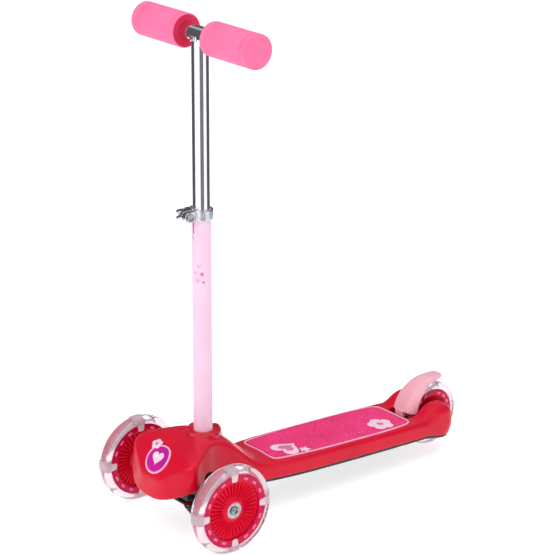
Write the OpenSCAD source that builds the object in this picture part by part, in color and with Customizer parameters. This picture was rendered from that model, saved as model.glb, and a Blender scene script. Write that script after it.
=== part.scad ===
// Three-wheeled lean-to-steer kick scooter for small children.
// Millimetres. +Z is up, the scooter faces -Y, +X is the rider's left.
// The origin is on the floor, under the centre of the scooter's box.
// Inside the modules every Y is a distance behind the front axle: from_axle() places them.

/* [Wheels] */
// Diameter of the two front wheels
front_wheel_d = 120; // [100:1:130]
// Diameter of the rear wheel
rear_wheel_d = 94; // [80:1:104]
// Width of every tyre
tyre_w = 22; // [20:0.5:24]
// Height of the clear tyre outside the rim
tyre_h = 9.5; // [7:0.5:12]
// Distance between the front wheels' middle planes
front_track = 208; // [200:1:230]
// Distance from the front axle to the rear axle
wheelbase = 436; // [400:1:520]
// Diameter of the axle bolts
axle_d = 8; // [6:1:8]
// Outside diameter of the ball bearings
bearing_d = 22; // [19:1:24]
// Width of the ball bearings
bearing_w = 7; // [5:1:7]

/* [Column] */
// Distance from the front axle back to the column
column_y = 34; // [30:1:40]
// Outside diameter of the painted lower tube
lower_tube_d = 25.4; // [24:0.1:28]
// Outside diameter of the plated upper tube
upper_tube_d = 22; // [20:0.1:22.5]
// Wall of both tubes
tube_wall = 1; // [0.8:0.1:1.2]
// Height of the lower tube's top end
lower_tube_top = 432; // [380:1:480]
// Length of upper tube that stays inside the lower tube
tube_insert = 175; // [165:1:250]
// How far the handlebar can be lowered
drop_travel = 130; // [100:1:160]

/* [Handlebar] */
// Height of the cross-bar's axis
bar_z = 659; // [600:1:720]
// Length of the handlebar over the grips
bar_span = 234.6; // [210:0.1:320]
// Length of one grip
grip_l = 89.3; // [70:0.1:110]
// Diameter of the grips
grip_d = 44.6; // [32:0.1:46]
// Thickness of the closed end of a grip
grip_cap = 5; // [3:0.5:8]

/* [Deck] */
// Height of the deck's top where the front cover meets it
deck_front_z = 70; // [64:1:80]
// Downward slope of the deck towards the rear, in degrees
deck_pitch = 2.4; // [0:0.1:3]
// Distance from the front axle to the front of the deck
deck_front_y = 125; // [120:1:140]
// Width of the deck at its middle
deck_w = 101; // [90:1:120]
// Width of the deck where it meets the front cover
deck_front_w = 86; // [80:1:96]
// Height of the deck's red side wall
deck_wall_h = 22; // [18:1:24]
// Height of the whole deck, with the black tray
deck_h = 26; // [24:0.5:30]
// Thickness of the moulded cover
shell_t = 2.5; // [2:0.1:3]
// Thickness of the grip mat
mat_t = 1.2; // [0.8:0.1:2]
// Width of the grip mat
mat_w = 88; // [70:1:92]

/* [Front cover] */
// Width of the hood over the steering
cover_w = 136; // [124:1:140]
// How far the hood reaches ahead of the front axle
cover_front = 58; // [50:1:64]
// Height of the hood's lower rim
cover_rim_z = 62; // [58:1:64]
// Height of the hood's top
cover_top_z = 124; // [118:1:130]

/* [Steering] */
// Distance between the two kingpins
kingpin_gap = 92; // [84:1:100]
// Lean of the kingpins, tops forward, in degrees
kingpin_tilt = 35; // [30:1:40]
// Diameter of the kingpins
kingpin_d = 10; // [8:1:12]
// Length of the steering arms
steer_arm = 24; // [20:1:26]

/* [Brake] */
// Gap between the brake fender and the rear tyre when released
brake_gap = 6; // [4:0.5:8]
// Thickness of the fender
fender_t = 4; // [3:0.5:5]
// Width of the fender
fender_w = 40; // [38:1:42]

/* [Fits] */
// Radial clearance of a running pin or shaft
run_gap = 0.05; // [0.02:0.01:0.1]
// Clearance between a fixed part and a moving one beside it
side_gap = 0.4; // [0.3:0.1:1]

/* [Hidden] */
$fn = 48;

front_r = front_wheel_d / 2;
rear_r = rear_wheel_d / 2;
wheel_x = front_track / 2;
axle_y = (max(front_r, cover_front) - wheelbase - rear_r) / 2;
hood_rear = 30;                     // where the hood runs into the neck
// Hood sections: share of its height, of its half width and of its front reach
hood_rows = [[0, 0.70, 1], [0.2, 0.86, 0.93], [0.42, 0.96, 0.82], [0.62, 1, 0.68],
             [0.8, 0.96, 0.52], [0.92, 0.84, 0.36], [1, 0.55, 0.1]];
neck_rise = 4;                      // the neck stands this much higher than the hood
badge_share = 0.22;                 // the badge's place between two rows of the hood's front
badge_r = 21;

hub_half = bearing_w + 1;           // half width of a wheel's hub, two bearings and a spacer
axle_r = axle_d / 2;
bolt_head_r = 6.2;
bolt_head_h = 3.6;
hex_key_d = 5.8;

lower_r = lower_tube_d / 2;
upper_r = upper_tube_d / 2;
lower_bore = lower_r - tube_wall;
tube_foot_z = 52;                   // the lower tube stands on the socket's floor here
upper_foot_z = lower_tube_top - tube_insert;

deck_tail = wheelbase - deck_front_y + 8;   // the arms' ends, along the deck from its front
mat_l = wheelbase - deck_front_y - rear_r - 17;
deck_head = -(deck_front_y - 78);   // the deck's moulding starts under the front cover
slot_y = wheelbase - rear_r - 11;   // where the wheel slot starts
slot_half = fender_w / 2 + 1.3;
fender_pin_y = wheelbase - rear_r - 5;
fender_pin_z = 50;
fender_pin_r = 2.5;
post_top = fender_pin_z + 6;         // the two posts around the brake's pin end here
arm_r = 26;                         // round rear arms beside the wheel
arm_y = wheelbase - 16;
arm_z = rear_r;
arm_foot_z = 31.5;                  // the arms are cut off flat underneath
boss_h = 12;                        // screw bosses under the deck
lug_r = 13;                         // rear axle lugs of the tray
lug_in = tyre_w / 2 + 2;
lug_out = 19.5;
pin_z = 58;                         // height of the middle of the kingpins
barrel_r = 9;
ear_t = 6;
barrel_low = -12;
barrel_high = 7;
bush_h = 5;
clamp_h = 13.5;
clamp_t = 2.6;
clamp_z = lower_tube_top + 1 - clamp_h / 2;
clamp_bolt_y = column_y - lower_r - clamp_t - 8;
ear_gap = 3;
ear_w = 5;
cam_x = -(ear_gap / 2 + ear_w + 6.2);
screw_r = 2;
screw_places = [for (u = [20, 115, 210]) for (s = [-1, 1]) [s * 30, u]];

// Places a piece from the front axle's own station.
module from_axle() { translate([0, axle_y, 0]) children(); }

// The deck's own level frame: origin at its front edge, Z 0 on its top face.
module deck_frame() {
    translate([0, deck_front_y, deck_front_z]) rotate([-deck_pitch, 0, 0]) children();
}

// The kingpin's frame on one side: Z runs up the pin.
module pin_frame(side) {
    translate([side * kingpin_gap / 2, 0, pin_z]) rotate([kingpin_tilt, 0, 0]) children();
}

module along_x(l, r) { rotate([0, 90, 0]) cylinder(h = l, r = r, center = true); }

module ring(r_out, r_in, h) {
    difference() {
        cylinder(h = h, r = r_out, center = true);
        cylinder(h = h + 2, r = r_in, center = true);
    }
}

// ---- Deck, cover and tray ----

// Half width of the deck at a distance along it: narrow at both ends, widest in the middle.
function deck_half(u) =
    let (t = min(1, max(0, (u - deck_head) / 110)), b = max(0, (u - 200) / (deck_tail - 200)))
    deck_front_w / 2 - 2 + (deck_w - deck_front_w + 4) / 2 * sin(90 * t) - 4.5 * b * b;

function deck_side(u0, u1, inset) =
    [for (i = [0 : 14]) let (u = u0 + (u1 - u0) * i / 14) [deck_half(u) - inset, u]];

module deck_outline(u0, u1, inset = 0) {
    side = deck_side(u0, u1, inset);
    polygon(concat(side, [for (i = [14 : -1 : 0]) [-side[i][0], side[i][1]]]));
}

module deck_plate(u0, u1, z0, z1, inset = 0) {
    translate([0, 0, z0]) linear_extrude(z1 - z0) deck_outline(u0, u1, inset);
}

// A rounded rectangle between a superellipse and a circle, as a flat outline.
module soft_outline(half_w, y0, y1) {
    mid = (y0 + y1) / 2;
    half_l = (y1 - y0) / 2;
    polygon([for (i = [0 : 39]) let (c = cos(9 * i), s = sin(9 * i))
        [half_w * sign(c) * pow(abs(c), 0.6), mid + half_l * sign(s) * pow(abs(s), 0.6)]]);
}

// The hood: flared above its rim, with a front that slopes back and a flat, rounded top.
module hood(inset) {
    tall = cover_top_z - inset - cover_rim_z;
    hull() for (r = hood_rows) translate([0, 0, cover_rim_z + r[0] * tall])
        linear_extrude(0.5) soft_outline(r[1] * cover_w / 2 - inset, inset - r[2] * cover_front, hood_rear - inset);
}

// Below its rim the hood's inside stays open for the steering.
module hood_hollow() {
    hood(shell_t);
    translate([0, 0, cover_rim_z - 2]) linear_extrude(2.1)
        soft_outline(hood_rows[0][1] * cover_w / 2 - shell_t, shell_t - cover_front, hood_rear - shell_t);
}

// The neck runs from the hood down onto the deck: drawn from the side, rounded from the front.
module neck(inset, low) {
    half = deck_front_w / 2 - 2.6 - inset;
    top = cover_top_z + neck_rise - inset;
    round = 20;
    intersection() {
        translate([half, 0, 0]) rotate([0, -90, 0]) linear_extrude(2 * half)
            polygon([[low, 0], [top - 4, 0], [top, column_y], [top - 5, 48], [top - 15, 60],
                     [deck_front_z + 29 - inset, 72], [deck_front_z + 16 - inset, 84],
                     [deck_front_z + 5 - inset, 102], [deck_front_z - 0.6 - inset, deck_front_y - 4],
                     [low, deck_front_y - 4]]);
        translate([0, 200, 0]) rotate([90, 0, 0]) linear_extrude(400) union() {
            translate([-half, 0]) square([2 * half, top - round]);
            translate([-half + round, 0]) square([2 * (half - round), top]);
            for (s = [-1, 1]) translate([s * (half - round), top - round]) circle(r = round);
        }
    }
}

// Round arms on both sides of the rear wheel.
module rear_arms(inset) {
    outer = deck_half(deck_tail - 20) - inset;
    inner = slot_half + inset;
    for (s = [-1, 1]) translate([s * (inner + outer) / 2, 0, 0]) {
        translate([0, arm_y, arm_z]) along_x(outer - inner, arm_r - inset);
        translate([-(outer - inner) / 2, arm_y - 20, arm_foot_z - 1 + inset / 2])
            cube([outer - inner, 20 + arm_r - 2 - inset, 14]);
    }
}

module wheel_slot(half, from_y) {
    translate([-half, from_y, 0]) cube([2 * half, 200, 150]);
}

module axle_window(side) { translate([side * 60, 4, front_r]) along_x(60, 32); }

module deck_hollow() {
    difference() {
        deck_frame() deck_plate(deck_head - 1, deck_tail - 14 - shell_t, -deck_wall_h - 9, -shell_t, shell_t);
        wheel_slot(slot_half + shell_t, slot_y - shell_t);
    }
}

// The red cover: hood, neck, deck and rear arms in one moulding, open underneath.
module body_shell() {
    color("crimson") from_axle() difference() {
        union() {
            difference() {
                union() {
                    hood(0);
                    neck(0, cover_rim_z - 14);
                    deck_frame() deck_plate(deck_head, deck_tail - 14, -deck_wall_h, 0);
                    rear_arms(0);
                }
                hood_hollow();
                neck(shell_t, cover_rim_z - 15);
                deck_hollow();
                rear_arms(shell_t);
            }
            deck_frame() for (p = screw_places)
                translate([p[0], p[1], -boss_h]) cylinder(h = boss_h - shell_t + 0.1, r = 3.6);
        }
        deck_frame() for (p = screw_places)
            translate([p[0], p[1], -boss_h - 1]) cylinder(h = boss_h - shell_t, r = screw_r);
        translate([-deck_w, arm_y - 60, 0]) cube([2 * deck_w, 120, arm_foot_z]);
        wheel_slot(slot_half, slot_y);
        // room for the tray's lugs and the ends of the rear axle
        translate([-slot_half, slot_y - 10, 0]) cube([2 * slot_half, 12, post_top + side_gap]);
        translate([0, wheelbase, rear_r]) along_x(2 * (slot_half + shell_t + 1), 9);
        for (s = [-1, 1]) axle_window(s);
        translate([0, column_y, 60]) cylinder(h = 90, r = lower_r + side_gap);
    }
}

module chassis() {
    color("#202024") from_axle() difference() {
        union() {
            // column socket and front beam
            translate([0, column_y, 44]) cylinder(h = 70, r = lower_r + 4);
            translate([-26, -12, 44]) cube([52, column_y + 32, 14]);
            for (s = [-1, 1]) pin_frame(s) kingpin_ears(s);
            deck_frame() deck_tray();
            translate([-30, column_y + 10, 44]) cube([60, 50, 4]);
            rear_lugs();
        }
        translate([0, column_y, tube_foot_z]) cylinder(h = 100, r = lower_r + run_gap);
        translate([0, column_y, 84]) along_x(60, 3 + run_gap);
        for (s = [-1, 1]) pin_frame(s) cylinder(h = 80, r = kingpin_d / 2 + run_gap, center = true);
        translate([0, wheelbase, rear_r]) along_x(60, axle_r + run_gap);
        translate([0, fender_pin_y, fender_pin_z]) along_x(60, fender_pin_r + run_gap);
        deck_frame() post_holes();
        translate([0, wheelbase, rear_r]) along_x(2 * lug_in, rear_r + 2);
    }
}

// Two ears hold the kingpin above and below the knuckle's barrel, joined to the front beam.
module kingpin_ears(side) {
    for (z = [barrel_low - side_gap - ear_t, barrel_high + bush_h + 2 * side_gap])
        translate([0, 0, z]) {
            cylinder(h = ear_t, r = 10);
            translate([side > 0 ? -30 : 0, -10, 0]) cube([30, 20, ear_t]);
        }
    translate([side * -28 - 3, -10, barrel_low - side_gap - ear_t]) cube([6, 20, 36.6]);
}

module deck_tray() {
    under = -shell_t - side_gap;
    end = slot_y - deck_front_y - shell_t - side_gap;
    wall = shell_t + side_gap;
    difference() {
        deck_plate(deck_head + 2, end, -deck_h, under, wall);
        deck_plate(deck_head + 5, end - 3, -deck_h - 1, under - 3, wall + 3);
    }
    // ribs along and across the underside
    for (x = [-15, 15]) translate([x - 1.5, deck_head + 4, -deck_h]) cube([3, end - deck_head - 6, deck_h + under]);
    for (u = [0 : 40 : end - 10])
        translate([-deck_half(u) + wall + 1, u - 1.5, -deck_h])
            cube([2 * deck_half(u) - 2 * wall - 2, 3, deck_h + under]);
    for (p = screw_places) translate([p[0], p[1], -deck_h]) cylinder(h = deck_h + under, r = 5.6);
}

// The tray's posts take the cover's bosses from above and the screws from below.
module post_holes() {
    for (p = screw_places) translate([p[0], p[1], -deck_h]) {
        translate([0, 0, deck_h - boss_h - side_gap]) cylinder(h = boss_h + 5, r = 3.6 + side_gap);
        translate([0, 0, -1]) cylinder(h = deck_h, r = screw_r + run_gap);
        translate([0, 0, -1]) cylinder(h = 3.4, r = 4.2);
    }
}

// Lugs of the tray carry the rear axle and the brake's pin.
module rear_lugs() {
    for (s = [-1, 1]) translate([s * (lug_in + lug_out) / 2, 0, 0]) {
        translate([0, wheelbase, rear_r]) along_x(lug_out - lug_in, lug_r);
        translate([-(lug_out - lug_in) / 2, slot_y - 12, 34.5]) cube([lug_out - lug_in, wheelbase - slot_y + 12, 9]);
    }
    for (s = [-1, 1]) translate([s * 11 - 2, slot_y - 6, 36]) cube([4, 14, post_top - 36]);
}

module deck_mat() {
    color("#f0327d") from_axle() deck_frame() intersection() {
        linear_extrude(mat_t) hull() {
            for (s = [-1, 1]) {
                translate([s * (mat_w / 2 - 15), 7, 0]) circle(r = 6);
                translate([s * (mat_w / 2 - 40), 90, 0]) circle(r = 40);
                translate([s * (mat_w / 2 - 40), 160, 0]) circle(r = 40);
                translate([s * (mat_w / 2 - 13), mat_l - 8, 0]) circle(r = 8);
            }
        }
        translate([-60, 0, -1]) cube([120, mat_l, 5]);
    }
}

module badge() {
    low = hood_rows[3];
    high = hood_rows[4];
    tall = cover_top_z - cover_rim_z;
    tilt = atan2((high[0] - low[0]) * tall, (low[2] - high[2]) * cover_front);
    share = low + badge_share * (high - low);
    color("#c81e96") from_axle() translate([0, -share[2] * cover_front, cover_rim_z + share[0] * tall])
        rotate([tilt, 0, 0]) translate([0, 0, 0.6]) cylinder(h = 1.4, r = badge_r);
}

module column_collar() {
    z = cover_top_z + neck_rise;
    color("#c8142d") from_axle() difference() {
        union() {
            translate([0, column_y, z - 6]) cylinder(h = 6, r = 26);
            translate([0, column_y, z]) cylinder(h = 4, r1 = 26, r2 = 21);
        }
        hood(-0.01);
        neck(-0.01, cover_rim_z);
        translate([0, column_y, 60]) cylinder(h = 120, r = lower_r + run_gap);
    }
}

module deck_screws() {
    color("#9a9aa0") from_axle() deck_frame() for (p = screw_places) translate([p[0], p[1], 0]) {
        translate([0, 0, -deck_h]) cylinder(h = 2.4, r = 3.8);
        translate([0, 0, -deck_h + 1]) cylinder(h = deck_h - shell_t - 3, r = screw_r);
    }
}

// ---- Column and handlebar ----

module lower_tube() {
    color("#fad7eb") from_axle() difference() {
        translate([0, column_y, tube_foot_z]) cylinder(h = lower_tube_top - tube_foot_z, r = lower_r);
        translate([0, column_y, tube_foot_z - 1]) cylinder(h = 500, r = lower_bore);
        translate([-1, 0, lower_tube_top - 35]) cube([2, column_y, 40]);
        translate([0, 0, lower_tube_top - 35]) rotate([-90, 0, 0]) cylinder(h = column_y, r = 3.5);
        translate([0, column_y, 84]) along_x(60, 3 + run_gap);
    }
}

module tube_bush() {
    color("#e8e8ea") from_axle() difference() {
        translate([0, column_y, lower_tube_top - 40]) cylinder(h = 40, r = lower_bore - 0.02);
        translate([0, column_y, lower_tube_top - 45]) cylinder(h = 60, r = upper_r + run_gap);
    }
}

module column_bolt() {
    color("#9a9aa0") from_axle() translate([0, column_y, 84]) {
        along_x(2 * lower_r + 14, 3);
        translate([lower_r + 6, 0, 0]) along_x(4, 5);
    }
}

module column_nut() {
    color("#9a9aa0") from_axle() translate([-lower_r - 6.5, column_y, 84]) rotate([0, 90, 0]) difference() {
        cylinder(h = 5, r = 5.8, center = true, $fn = 6);
        cylinder(h = 7, r = 3 + run_gap, center = true);
    }
}

module clamp_ring() {
    color("#c9cacd") from_axle() difference() {
        union() {
            translate([0, column_y, clamp_z]) cylinder(h = clamp_h, r = lower_r + clamp_t, center = true);
            translate([0, clamp_bolt_y, clamp_z]) along_x(ear_gap + 2 * ear_w, clamp_h / 2);
            translate([-ear_gap / 2 - ear_w, clamp_bolt_y, clamp_z - clamp_h / 2])
                cube([ear_gap + 2 * ear_w, column_y - clamp_bolt_y, clamp_h]);
        }
        translate([0, column_y, clamp_z]) cylinder(h = 60, r = lower_r + 0.02, center = true);
        translate([-ear_gap / 2, clamp_bolt_y - 20, clamp_z - 20])
            cube([ear_gap, column_y - lower_bore - clamp_bolt_y + 20, 40]);
        translate([0, clamp_bolt_y, clamp_z]) along_x(60, 2.5 + run_gap);
    }
}

module clamp_bolt() {
    color("#9a9aa0") from_axle() translate([0, clamp_bolt_y, clamp_z]) difference() {
        translate([-1.5, 0, 0]) along_x(2 * -cam_x - 3, 2.5);
        translate([cam_x, 0, 0]) cylinder(h = 20, r = 3, center = true);
    }
}

module clamp_nut() {
    color("#b5b6ba") from_axle() translate([ear_gap / 2 + ear_w + 2.1, clamp_bolt_y, clamp_z])
        rotate([0, 90, 0]) ring(5.6, 2.5 + run_gap, 4);
}

module cam_barrel() {
    color("#9a9aa0") from_axle() translate([cam_x, clamp_bolt_y, clamp_z]) cylinder(h = 11.6, r = 3, center = true);
}

// The cam lever: two cheeks around the barrel and a thumb plate that lies back along the ring.
module clamp_lever() {
    color("#c9cacd") from_axle() translate([cam_x, clamp_bolt_y, clamp_z]) difference() {
        union() {
            cylinder(h = 11.4, r = 5.8, center = true);
            translate([-6, 0, -5.7]) cube([2.8, 24, 11.4]);
            translate([-9, 20, -5.7]) cube([5.8, 4, 11.4]);
        }
        cylinder(h = 20, r = 3 + run_gap, center = true);
        translate([0, -4.8, 0]) cube([30, 21, 6], center = true);
    }
}

module upper_tube() {
    color("#d8d9dc") from_axle() difference() {
        translate([0, column_y, upper_foot_z]) cylinder(h = bar_z - upper_foot_z, r = upper_r);
        translate([0, column_y, upper_foot_z - 1]) cylinder(h = 600, r = upper_r - tube_wall);
        translate([0, column_y, bar_z]) along_x(80, upper_r);
    }
}

module crossbar() {
    color("#cfd0d4") from_axle() translate([0, column_y, bar_z]) difference() {
        along_x(bar_span - 2 * grip_cap - 2, upper_r);
        along_x(bar_span, upper_r - tube_wall);
    }
}

module bar_plugs() {
    color("#303034") from_axle() for (s = [-1, 1])
        translate([s * (bar_span / 2 - grip_cap - 9), column_y, bar_z]) along_x(16, upper_r - tube_wall);
}

module grip() {
    difference() {
        rotate([0, 90, 0]) rotate_extrude($fn = 64) grip_profile();
        translate([-1, 0, 0]) rotate([0, 90, 0]) cylinder(h = grip_l - grip_cap, r = upper_r);
    }
}

// Half section of a grip: round shoulders and a fine groove near each end.
module grip_profile() {
    r = grip_d / 2;
    shoulder = 1.5;
    arc = [for (a = [0 : 15 : 90]) [r - shoulder + shoulder * sin(a), shoulder - shoulder * cos(a)]];
    difference() {
        polygon(concat([[0, 0]], arc, [for (i = [6 : -1 : 0]) [arc[i][0], grip_l - arc[i][1]]], [[0, grip_l]]));
        for (z = [9.5, grip_l - 9.5]) translate([r, z]) circle(r = 0.8, $fn = 16);
    }
}

module grip_left() {
    color("hotpink") from_axle() translate([bar_span / 2 - grip_l, column_y, bar_z]) grip();
}

module grip_right() {
    color("hotpink") from_axle() translate([-bar_span / 2 + grip_l, column_y, bar_z]) mirror([1, 0, 0]) grip();
}

// ---- Steering ----

module kingpins() {
    color("#9a9aa0") from_axle() for (s = [-1, 1]) pin_frame(s)
        translate([0, 0, barrel_low - side_gap - ear_t - 1]) {
            cylinder(h = 39, r = kingpin_d / 2);
            cylinder(h = 1, r = kingpin_d / 2 + 2);
        }
}

module centring_bushes() {
    color("#e6c8a0") from_axle() for (s = [-1, 1]) pin_frame(s)
        translate([0, 0, barrel_high + side_gap + bush_h / 2]) ring(barrel_r, kingpin_d / 2 + 0.3, bush_h);
}

// A knuckle turns on its kingpin and carries the wheel's axle boss and the steering arm.
module knuckle(side) {
    boss_end = wheel_x - hub_half - 1.2;
    start = kingpin_gap / 2 + 2;
    difference() {
        union() {
            pin_frame(side) translate([0, 0, barrel_low]) cylinder(h = barrel_high - barrel_low, r = barrel_r);
            translate([side * (start + boss_end) / 2, 0, front_r]) along_x(boss_end - start, 10);
            translate([side * (boss_end + 0.5), 0, front_r]) along_x(1, 6);
            pin_frame(side) translate([-6, -steer_arm, -8]) cube([12, steer_arm, 11]);
            pin_frame(side) translate([0, -steer_arm, -8]) cylinder(h = 11, r = 6);
        }
        pin_frame(side) cylinder(h = 80, r = kingpin_d / 2 + run_gap, center = true);
        translate([side * wheel_x, 0, front_r]) along_x(2 * (wheel_x - kingpin_gap / 2 - 9), axle_r + run_gap);
        pin_frame(side) translate([0, -steer_arm, 0]) cylinder(h = 40, r = 2.5 + run_gap, center = true);
        pin_frame(side) translate([0, -steer_arm, 3]) cylinder(h = 10, r = 8);
        // room for the ears and the bush above and below the barrel
        for (z = [barrel_low - 20, barrel_high]) pin_frame(side) translate([0, 0, z]) cylinder(h = 20, r = 10.8);
    }
}

module knuckle_left() { color("#26262a") from_axle() knuckle(1); }
module knuckle_right() { color("#26262a") from_axle() knuckle(-1); }

// The tie rod lies on top of both steering arms, with an eye at each end.
module tie_rod() {
    color("#2e2e33") from_axle() difference() {
        union() {
            for (s = [-1, 1]) pin_frame(s) translate([0, -steer_arm, 3.4]) cylinder(h = 6, r = 6);
            translate([0, -steer_arm * cos(kingpin_tilt) - 6.4 * sin(kingpin_tilt),
                       pin_z - steer_arm * sin(kingpin_tilt) + 6.4 * cos(kingpin_tilt)])
                along_x(kingpin_gap - 8, 2.9);
        }
        for (s = [-1, 1]) pin_frame(s) translate([0, -steer_arm, 0]) cylinder(h = 40, r = 2.5 + run_gap, center = true);
    }
}

module tie_rod_pins() {
    color("#9a9aa0") from_axle() for (s = [-1, 1]) pin_frame(s) translate([0, -steer_arm, -9]) {
        cylinder(h = 19.2, r = 2.5);
        translate([0, 0, 18.6]) cylinder(h = 1.6, r = 4.4);
    }
}

module axle_bolt(side) {
    head_x = hub_half + 0.1;
    tip = wheel_x - kingpin_gap / 2 - 12;
    translate([side * wheel_x, 0, front_r]) difference() {
        union() {
            translate([side * (head_x - tip) / 2, 0, 0]) along_x(head_x + tip, axle_r);
            translate([side * (head_x + bolt_head_h / 2), 0, 0]) along_x(bolt_head_h, bolt_head_r);
        }
        translate([side * (head_x + bolt_head_h), 0, 0]) rotate([0, 90, 0])
            cylinder(h = 5, d = hex_key_d, center = true, $fn = 6);
    }
}

module axle_bolt_left() { color("#b9babd") from_axle() axle_bolt(1); }
module axle_bolt_right() { color("#b9babd") from_axle() axle_bolt(-1); }

// ---- Wheels ----

module tyre(r) {
    shoulder = 8.5;
    half = tyre_w / 2;
    flat = half - shoulder;
    arc = [for (a = [0 : 15 : 90]) [r - shoulder + shoulder * sin(a), flat + shoulder * cos(a)]];
    rotate([0, 90, 0]) rotate_extrude($fn = 72)
        polygon(concat([[r - tyre_h, -half], [r - tyre_h, half]], arc,
                       [for (i = [6 : -1 : 0]) [arc[i][0], -arc[i][1]]]));
}

// Four lamp housings sit in the rim, a quarter turn apart.
module lamp_blocks(r, grow = 0) {
    for (a = [0 : 90 : 270]) rotate([a, 0, 0])
        translate([0, 0, r - 10.8]) cube([12 + 2 * grow, 9 + 2 * grow, 17.4 + 2 * grow], center = true);
}

// Small pink windows in the rim band, three between each two lamps, on both faces.
module window_blocks(r, grow = 0) {
    for (q = [0 : 90 : 270]) for (a = [q + 24, q + 45, q + 66]) rotate([a, 0, 0]) for (s = [-1, 1])
        translate([s * 8.5, 0, r - tyre_h - 6]) cube([2 + 2 * grow, 7 + 2 * grow, 3.4 + 2 * grow], center = true);
}

module core(r, lamps) {
    rim = r - tyre_h;
    disc = rim - 10.5;
    difference() {
        union() {
            rotate([0, 90, 0]) ring(rim, disc, 19);
            rotate([0, 90, 0]) ring(disc + 1, bearing_d / 2 + 2, 7);
            rotate([0, 90, 0]) ring(bearing_d / 2 + 3, bearing_d / 2, 2 * hub_half);
            for (a = [0 : 20 : 340]) rotate([a, 0, 0])
                translate([-6, -0.8, bearing_d / 2 + 2]) cube([12, 1.6, disc - bearing_d / 2 - 1.5]);
        }
        if (lamps) lamp_blocks(r, 0.01);
        window_blocks(r, 0.01);
    }
}

module clear_tyre(r, lamps) {
    difference() {
        tyre(r);
        if (lamps) lamp_blocks(r, 0.01);
    }
}

module bearings() {
    for (s = [-1, 1]) translate([s * (hub_half - bearing_w / 2), 0, 0])
        rotate([0, 90, 0]) ring(bearing_d / 2, axle_r + run_gap, bearing_w);
}

module spacer() { rotate([0, 90, 0]) ring(axle_r + 2, axle_r + run_gap, 2); }

module front_wheel_at(side) { from_axle() translate([side * wheel_x, 0, front_r]) children(); }
module rear_wheel_at() { from_axle() translate([0, wheelbase, rear_r]) children(); }

module core_front_left() { color("#d2002d") front_wheel_at(1) core(front_r, true); }
module tyre_front_left() { color("#f5e1e6") front_wheel_at(1) clear_tyre(front_r, true); }
module lamps_front_left() { color("#f5f0f0") front_wheel_at(1) lamp_blocks(front_r); }
module windows_front_left() { color("#ff82a5") front_wheel_at(1) window_blocks(front_r); }
module bearings_front_left() { color("#b0b0b4") front_wheel_at(1) bearings(); }
module spacer_front_left() { color("#b0b0b4") front_wheel_at(1) spacer(); }
module core_front_right() { color("#d2002d") front_wheel_at(-1) core(front_r, true); }
module tyre_front_right() { color("#f5e1e6") front_wheel_at(-1) clear_tyre(front_r, true); }
module lamps_front_right() { color("#f5f0f0") front_wheel_at(-1) lamp_blocks(front_r); }
module windows_front_right() { color("#ff82a5") front_wheel_at(-1) window_blocks(front_r); }
module bearings_front_right() { color("#b0b0b4") front_wheel_at(-1) bearings(); }
module spacer_front_right() { color("#b0b0b4") front_wheel_at(-1) spacer(); }
module core_rear() { color("#d2002d") rear_wheel_at() core(rear_r, false); }
module tyre_rear() { color("#f5e1e6") rear_wheel_at() clear_tyre(rear_r, false); }
module windows_rear() { color("#ff82a5") rear_wheel_at() window_blocks(rear_r); }
module bearings_rear() { color("#b0b0b4") rear_wheel_at() bearings(); }
module spacer_rear() { color("#b0b0b4") rear_wheel_at() spacer(); }

module rear_axle() {
    color("#9a9aa0") rear_wheel_at() {
        translate([0.5, 0, 0]) along_x(2 * lug_out + 5, axle_r);
        translate([lug_out + 1.6, 0, 0]) along_x(3, 6.5);
    }
}

module rear_axle_nut() {
    color("#9a9aa0") rear_wheel_at() translate([-lug_out - 1.6, 0, 0]) rotate([0, 90, 0]) difference() {
        cylinder(h = 3, r = 6.5, center = true, $fn = 6);
        cylinder(h = 8, r = axle_r + run_gap, center = true);
    }
}

module rear_spacers() {
    color("#9a9aa0") rear_wheel_at() for (s = [-1, 1])
        translate([s * (hub_half + lug_in + 0.1) / 2, 0, 0]) rotate([0, 90, 0])
            ring(axle_r + 1.6, axle_r + run_gap, lug_in - hub_half - 0.3);
}

// ---- Brake ----

// A hooded fender, round over the tyre, hinged in front of the wheel.
module fender() {
    in_r = rear_r + brake_gap;
    color("#fab4be") from_axle() difference() {
        union() {
            translate([0, wheelbase, rear_r]) rotate([0, 90, 0]) rotate([0, 0, -200])
                rotate_extrude(angle = 94, $fn = 96) fender_section(in_r);
            translate([0, fender_pin_y, fender_pin_z]) along_x(17, 5);
            translate([-7.5, fender_pin_y - 4, fender_pin_z]) cube([15, 7, 15]);
        }
        translate([0, fender_pin_y, fender_pin_z]) along_x(60, fender_pin_r + run_gap);
        translate([0, wheelbase, rear_r]) along_x(tyre_w - 4, in_r - 0.2);
    }
}

module fender_section(in_r) {
    half = fender_w / 2;
    crown = in_r + fender_t;
    polygon([[in_r - 9, -half], [crown - 4, -half], [crown - 1, -half + 5], [crown, -half + 11],
             [crown, half - 11], [crown - 1, half - 5], [crown - 4, half], [in_r - 9, half],
             [in_r - 9, half - 3], [in_r - 2, half - 4], [in_r, half - 10], [in_r, -half + 10],
             [in_r - 2, -half + 4], [in_r - 9, -half + 3]]);
}

module fender_pin() {
    color("#9a9aa0") from_axle() translate([0, fender_pin_y, fender_pin_z]) along_x(37, fender_pin_r);
}

// Torsion spring on the brake's pin: four turns of wire and two legs.
module fender_spring() {
    color("#8a8a90") from_axle() translate([0, fender_pin_y, fender_pin_z]) {
        for (i = [0 : 3]) translate([14 + i * 1.2, 0, 0]) rotate([0, 90, 0])
            rotate_extrude() translate([3.6, 0]) circle(r = 0.6, $fn = 16);
    }
}

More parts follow.
